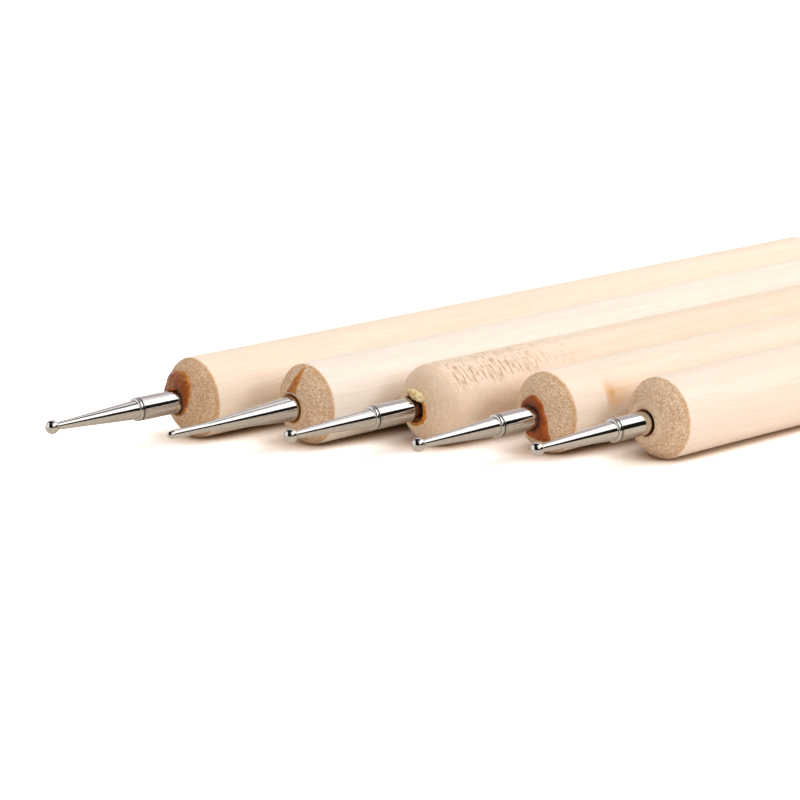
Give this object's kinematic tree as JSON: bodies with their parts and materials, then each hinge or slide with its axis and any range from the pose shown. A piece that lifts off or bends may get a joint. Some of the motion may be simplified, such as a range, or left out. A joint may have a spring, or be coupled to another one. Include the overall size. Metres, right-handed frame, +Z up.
{
  "type": "embossing stylus",
  "caption": "Set of double-ended embossing styluses lying side by side: turned wooden handles with glued-in plated tips, slender cones that end in a small ball or a plain point.",
  "frame": {"origin": "on the table under the middle of the set's box", "axes": "+X runs along the handles from the front tips, which the picture shows, to the rear tips; +Y runs across the row from the fifth stylus to the first; +Z is up from the table"},
  "size_m": [0.1698, 0.0514, 0.009],
  "materials": {
    "turned_wood": "fine sanded, unvarnished",
    "plated_metal": "bright plated",
    "hardened_glue": "amber, glossy, hardened drips"
  },
  "bodies": {
    "stylus_1": {"stylus_1_handle": "turned_wood", "stylus_1_front_tip": "plated_metal", "stylus_1_front_glue": "hardened_glue", "stylus_1_front_sleeve": "plated_metal", "stylus_1_rear_tip": "plated_metal", "stylus_1_rear_glue": "hardened_glue", "stylus_1_rear_sleeve": "plated_metal"},
    "stylus_2": {"stylus_2_handle": "turned_wood", "stylus_2_front_tip": "plated_metal", "stylus_2_front_glue": "hardened_glue", "stylus_2_rear_tip": "plated_metal", "stylus_2_rear_glue": "hardened_glue", "stylus_2_rear_sleeve": "plated_metal"},
    "stylus_3": {"stylus_3_handle": "turned_wood", "stylus_3_front_tip": "plated_metal", "stylus_3_front_glue": "hardened_glue", "stylus_3_front_sleeve": "plated_metal", "stylus_3_rear_tip": "plated_metal", "stylus_3_rear_glue": "hardened_glue", "stylus_3_rear_sleeve": "plated_metal"},
    "stylus_4": {"stylus_4_handle": "turned_wood", "stylus_4_front_tip": "plated_metal", "stylus_4_front_glue": "hardened_glue", "stylus_4_front_sleeve": "plated_metal", "stylus_4_rear_tip": "plated_metal", "stylus_4_rear_glue": "hardened_glue", "stylus_4_rear_sleeve": "plated_metal"},
    "stylus_5": {"stylus_5_handle": "turned_wood", "stylus_5_front_tip": "plated_metal", "stylus_5_front_glue": "hardened_glue", "stylus_5_front_sleeve": "plated_metal", "stylus_5_rear_tip": "plated_metal", "stylus_5_rear_glue": "hardened_glue", "stylus_5_rear_sleeve": "plated_metal"}
  },
  "joints": [
    {"name": "stylus_1_lift", "type": "slide", "parent": "stylus_3", "child": "stylus_1", "axis": [0, 0, 1], "range_m": [0, 0.05]},
    {"name": "stylus_2_lift", "type": "slide", "parent": "stylus_3", "child": "stylus_2", "axis": [0, 0, 1], "range_m": [0, 0.05]},
    {"name": "stylus_4_lift", "type": "slide", "parent": "stylus_3", "child": "stylus_4", "axis": [0, 0, 1], "range_m": [0, 0.05]},
    {"name": "stylus_5_lift", "type": "slide", "parent": "stylus_3", "child": "stylus_5", "axis": [0, 0, 1], "range_m": [0, 0.05]}
  ]
}
